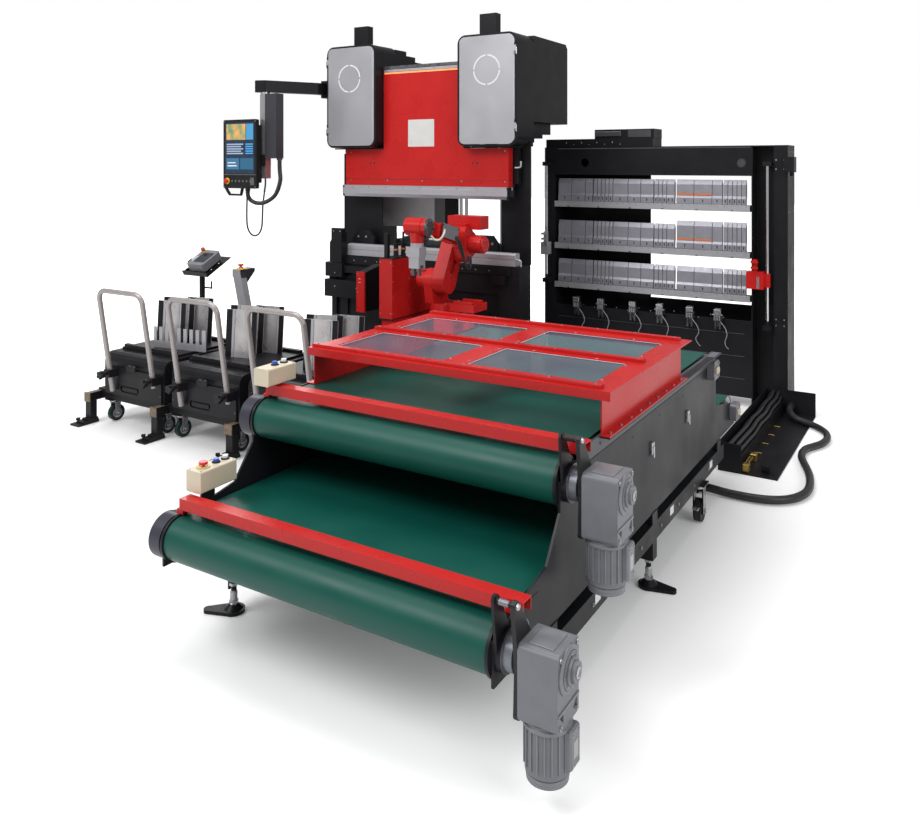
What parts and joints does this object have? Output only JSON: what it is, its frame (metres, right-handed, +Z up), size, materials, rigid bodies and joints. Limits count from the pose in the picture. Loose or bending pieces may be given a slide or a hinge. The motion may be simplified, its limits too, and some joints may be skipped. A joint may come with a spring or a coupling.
{
  "type": "robotic press brake cell",
  "caption": "Electric press brake with a bending robot, upright tool changer, operator pendant, tooling carts and a double-deck belt conveyor under a red hood.",
  "frame": {"origin": "on the floor under the middle of the press brake's bending line", "axes": "+X to the right along the bending line, +Y to the back of the press, +Z up"},
  "size_m": [4.2318, 4.1478, 2.615],
  "materials": {
    "black_paint": "satin",
    "door_silver": "satin",
    "ground_steel": "brushed",
    "machine_steel": "satin",
    "red_paint": "gloss",
    "post_aluminium": "satin",
    "black_plastic": "matte",
    "hose_rubber": "matte",
    "grey_plastic": "matte",
    "grey_paint": "satin",
    "red_plastic": "gloss",
    "handle_paint": "satin",
    "panel_paint": "satin",
    "belt_green": "satin",
    "roller_steel": "satin",
    "motor_grey": "satin",
    "clear_sheet": "clear",
    "box_beige": "satin",
    "blue_plastic": "gloss",
    "white_plastic": "gloss"
  },
  "bodies": {
    "cell": {"press_frame": "black_paint", "bed_beam": "black_paint", "die_holder": "ground_steel", "servo_housings": "black_paint", "ram_drives": "machine_steel", "teach_stand": "black_paint", "teach_pendant": "grey_plastic", "estop_stand": "grey_paint", "cart_frames": "black_paint", "part_separators": "ground_steel", "robot_base": "red_paint", "gripper_stand": "red_paint", "regrip_table": "red_paint", "tool_changer_frame": "black_paint", "tool_blocks": "ground_steel", "spare_grippers": "machine_steel", "floor_hose": "hose_rubber", "conveyor_base": "black_paint", "conveyor_panels": "panel_paint", "belts": "belt_green", "gear_motors": "motor_grey", "guard_bars": "red_paint", "hood": "red_paint", "hood_windows": "clear_sheet", "control_boxes": "box_beige"},
    "ram": {"ram_beam": "machine_steel", "ram_cover": "red_paint", "punch_holder": "ground_steel"},
    "left_door": {"housing_door_left": "door_silver"},
    "right_door": {"housing_door_right": "door_silver"},
    "gauge": {"gauge_beam": "machine_steel"},
    "gauge_stops": {"gauge_fingers": "machine_steel"},
    "pendant_boom": {"pendant_arm": "black_paint"},
    "pendant_head": {"pendant_post": "post_aluminium", "pendant_screen": "black_plastic", "pendant_hose": "hose_rubber", "pendant_lead": "hose_rubber"},
    "turret": {"robot_turret": "red_paint"},
    "lower_arm": {"robot_lower_arm": "red_paint"},
    "elbow": {"robot_elbow": "red_paint"},
    "forearm": {"robot_forearm": "red_paint"},
    "wrist": {"robot_wrist": "red_paint"},
    "gripper": {"robot_gripper": "ground_steel"},
    "jaw_left": {"gripper_jaw_left": "machine_steel"},
    "jaw_right": {"gripper_jaw_right": "machine_steel"},
    "handle_left": {"cart_handle_1": "handle_paint"},
    "handle_middle": {"cart_handle_2": "handle_paint"},
    "handle_right": {"cart_handle_3": "handle_paint"},
    "shuttle_left": {"tool_shuttle_left": "ground_steel"},
    "shuttle_right": {"tool_shuttle_right": "red_paint"},
    "upper_drive": {"upper_drive_roller": "roller_steel"},
    "upper_tail": {"upper_tail_roller": "roller_steel"},
    "lower_drive": {"lower_drive_roller": "roller_steel"},
    "lower_tail": {"lower_tail_roller": "roller_steel"},
    "stand_stop": {"estop_stand_button": "red_plastic"},
    "lower_stop": {"lower_stop_button": "red_plastic"},
    "lower_start": {"lower_start_button": "blue_plastic"},
    "lower_aux": {"lower_aux_button": "white_plastic"},
    "upper_start": {"upper_start_button": "blue_plastic"},
    "upper_aux": {"upper_aux_button": "white_plastic"}
  },
  "joints": [
    {"name": "ram_slide", "type": "slide", "parent": "cell", "child": "ram", "axis": [0, 0, -1], "range_m": [0, 0.25]},
    {"name": "left_door_hinge", "type": "hinge", "parent": "cell", "child": "left_door", "pos_m": [-0.779, -0.0935, 2.2], "axis": [0, 0, -1], "range_deg": [0, 85]},
    {"name": "right_door_hinge", "type": "hinge", "parent": "cell", "child": "right_door", "pos_m": [0.779, -0.0935, 2.2], "axis": [0, 0, 1], "range_deg": [0, 85]},
    {"name": "gauge_slide", "type": "slide", "parent": "cell", "child": "gauge", "axis": [0, 1, 0], "range_m": [-0.02, 0.25]},
    {"name": "gauge_side_slide", "type": "slide", "parent": "gauge", "child": "gauge_stops", "axis": [1, 0, 0], "range_m": [-0.1, 0.1]},
    {"name": "pendant_boom_hinge", "type": "hinge", "parent": "cell", "child": "pendant_boom", "pos_m": [-0.867, 0.01, 2.16], "axis": [0, 0, -1], "range_deg": [-10, 70]},
    {"name": "pendant_swivel", "type": "hinge", "parent": "pendant_boom", "child": "pendant_head", "pos_m": [-1.063, -0.44, 2.11], "axis": [0, 0, 1], "range_deg": [-45, 45]},
    {"name": "robot_axis_1", "type": "hinge", "parent": "cell", "child": "turret", "pos_m": [0.447, -0.4, 0.7], "axis": [0, 0, 1], "range_deg": [-15, 45]},
    {"name": "robot_axis_2", "type": "hinge", "parent": "turret", "child": "lower_arm", "pos_m": [0.456, -0.44, 0.88], "axis": [-1, 0, 0], "range_deg": [-30, 5]},
    {"name": "robot_axis_3", "type": "hinge", "parent": "lower_arm", "child": "elbow", "pos_m": [0.545, -0.33, 1.11], "axis": [-1, 0, 0], "range_deg": [-30, 45]},
    {"name": "robot_axis_4", "type": "hinge", "parent": "elbow", "child": "forearm", "pos_m": [0.546, -0.725, 1.24], "axis": [0, 0.9677, -0.2521], "range_deg": [-90, 90]},
    {"name": "robot_axis_5", "type": "hinge", "parent": "forearm", "child": "wrist", "pos_m": [0.447, -0.725, 1.24], "axis": [1, 0, 0], "range_deg": [-80, 35]},
    {"name": "robot_axis_6", "type": "hinge", "parent": "wrist", "child": "gripper", "pos_m": [0.447, -0.725, 1.14], "axis": [0, 0, 1], "range_deg": [-180, 180]},
    {"name": "jaw_left_slide", "type": "slide", "parent": "gripper", "child": "jaw_left", "axis": [1, 0, 0], "range_m": [0, 0.012]},
    {"name": "jaw_right_slide", "type": "slide", "parent": "gripper", "child": "jaw_right", "axis": [-1, 0, 0], "range_m": [0, 0.012]},
    {"name": "handle_left_slide", "type": "slide", "parent": "cell", "child": "handle_left", "axis": [0, -0.1564, 0.9877], "range_m": [-0.06, 0]},
    {"name": "handle_middle_slide", "type": "slide", "parent": "cell", "child": "handle_middle", "axis": [0, -0.1564, 0.9877], "range_m": [-0.06, 0]},
    {"name": "handle_right_slide", "type": "slide", "parent": "cell", "child": "handle_right", "axis": [0, -0.1564, 0.9877], "range_m": [-0.06, 0]},
    {"name": "shuttle_left_slide", "type": "slide", "parent": "cell", "child": "shuttle_left", "axis": [0, 0, 1], "range_m": [-0.15, 0.45]},
    {"name": "shuttle_right_slide", "type": "slide", "parent": "cell", "child": "shuttle_right", "axis": [0, 0, 1], "range_m": [-0.2, 0.55]},
    {"name": "upper_drive_turn", "type": "hinge", "parent": "cell", "child": "upper_drive", "pos_m": [1.622, -2.552, 0.664], "axis": [1, 0, 0], "continuous": true},
    {"name": "upper_tail_turn", "type": "hinge", "parent": "cell", "child": "upper_tail", "pos_m": [1.622, -0.948, 0.664], "axis": [1, 0, 0], "continuous": true},
    {"name": "lower_drive_turn", "type": "hinge", "parent": "cell", "child": "lower_drive", "pos_m": [1.622, -2.956, 0.366], "axis": [1, 0, 0], "continuous": true},
    {"name": "lower_tail_turn", "type": "hinge", "parent": "cell", "child": "lower_tail", "pos_m": [1.622, -0.526, 0.366], "axis": [1, 0, 0], "continuous": true},
    {"name": "stand_stop_press", "type": "slide", "parent": "cell", "child": "stand_stop", "axis": [0, 0, -1], "range_m": [0, 0.006]},
    {"name": "lower_stop_press", "type": "slide", "parent": "cell", "child": "lower_stop", "axis": [0, 0, -1], "range_m": [0, 0.004]},
    {"name": "lower_start_press", "type": "slide", "parent": "cell", "child": "lower_start", "axis": [0, 0, -1], "range_m": [0, 0.004], "stiffness_N_per_m": 500},
    {"name": "lower_aux_press", "type": "slide", "parent": "cell", "child": "lower_aux", "axis": [0, 0, -1], "range_m": [0, 0.004], "stiffness_N_per_m": 500},
    {"name": "upper_start_press", "type": "slide", "parent": "cell", "child": "upper_start", "axis": [0, 0, -1], "range_m": [0, 0.004], "stiffness_N_per_m": 500},
    {"name": "upper_aux_press", "type": "slide", "parent": "cell", "child": "upper_aux", "axis": [0, 0, -1], "range_m": [0, 0.004], "stiffness_N_per_m": 500}
  ],
  "couplings": [
    {"joint": "jaw_right_slide", "follows": "jaw_left_slide", "ratio": 1},
    {"joint": "upper_tail_turn", "follows": "upper_drive_turn", "ratio": 1},
    {"joint": "lower_tail_turn", "follows": "lower_drive_turn", "ratio": 1}
  ]
}
